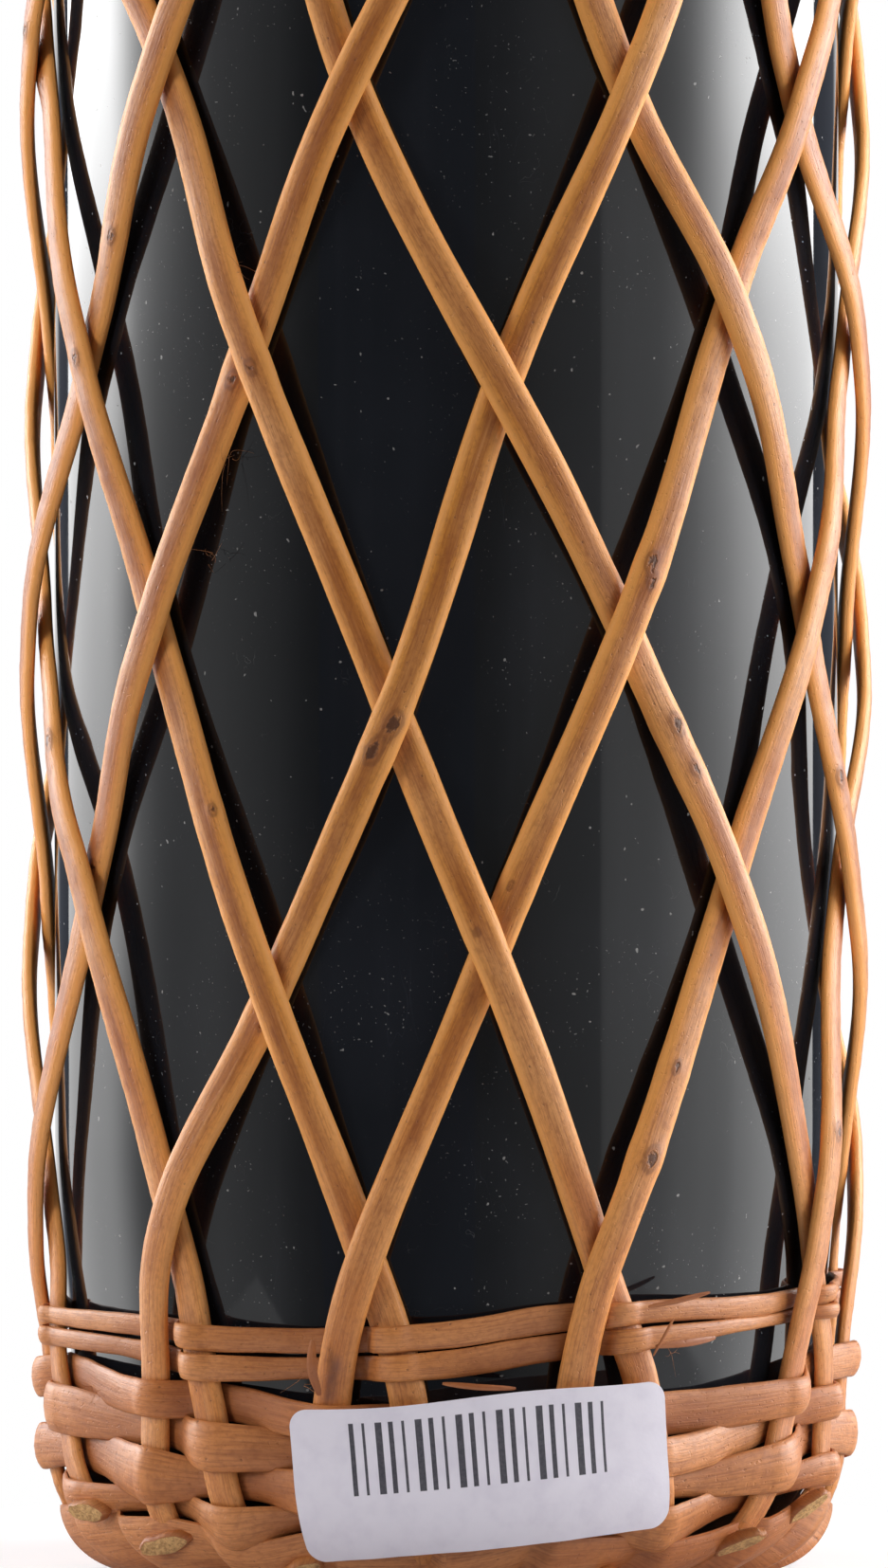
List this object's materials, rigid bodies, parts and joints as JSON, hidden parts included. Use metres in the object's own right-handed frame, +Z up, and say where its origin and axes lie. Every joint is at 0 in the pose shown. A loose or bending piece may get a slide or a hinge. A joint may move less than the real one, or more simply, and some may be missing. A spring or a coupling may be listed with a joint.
{
  "type": "wicker-covered bottle",
  "caption": "Tall dark glass bottle in a split-willow jacket: crossing stakes woven over and under, a woven base and neck collar, and a capped cork stopper.",
  "frame": {"origin": "on the bottle's axis, at the surface that it stands on", "axes": "+Z up along the bottle's axis, -Y towards the pictured face with the sticker, +X to the picture's right"},
  "size_m": [0.0829, 0.0829, 0.3089],
  "materials": {
    "dark_glass": "gloss, near black",
    "willow_stake": "satin, buff willow, split with a rounded back",
    "willow_split": "satin, buff willow, flat splits",
    "sticker_paper": "satin coated",
    "cork": "matt",
    "cap_plastic": "fine satin"
  },
  "bodies": {
    "bottle": {"glass_bottle": "dark_glass", "right_stake_01": "willow_stake", "right_stake_02": "willow_stake", "right_stake_03": "willow_stake", "right_stake_04": "willow_stake", "right_stake_05": "willow_stake", "right_stake_06": "willow_stake", "right_stake_07": "willow_stake", "right_stake_08": "willow_stake", "right_stake_09": "willow_stake", "right_stake_10": "willow_stake", "left_stake_01": "willow_stake", "left_stake_02": "willow_stake", "left_stake_03": "willow_stake", "left_stake_04": "willow_stake", "left_stake_05": "willow_stake", "left_stake_06": "willow_stake", "left_stake_07": "willow_stake", "left_stake_08": "willow_stake", "left_stake_09": "willow_stake", "left_stake_10": "willow_stake", "base_weaver_1": "willow_split", "base_weaver_2": "willow_split", "base_weaver_3": "willow_split", "base_weaver_4": "willow_split", "band_split_lower": "willow_split", "band_split_upper": "willow_split", "collar_weaver_1": "willow_split", "collar_weaver_2": "willow_split", "collar_weaver_3": "willow_split", "collar_weaver_4": "willow_split", "base_border": "willow_split", "base_stick_1": "willow_stake", "base_stick_2": "willow_stake", "base_stick_3": "willow_stake", "base_stick_4": "willow_stake", "base_round_1": "willow_split", "base_round_2": "willow_split", "base_round_3": "willow_split", "price_sticker": "sticker_paper"},
    "stopper": {"stopper_shank": "cork", "stopper_cap": "cap_plastic"}
  },
  "joints": [
    {"name": "stopper_pull", "type": "slide", "parent": "bottle", "child": "stopper", "axis": [0, 0, 1], "range_m": [0, 0.03]}
  ]
}
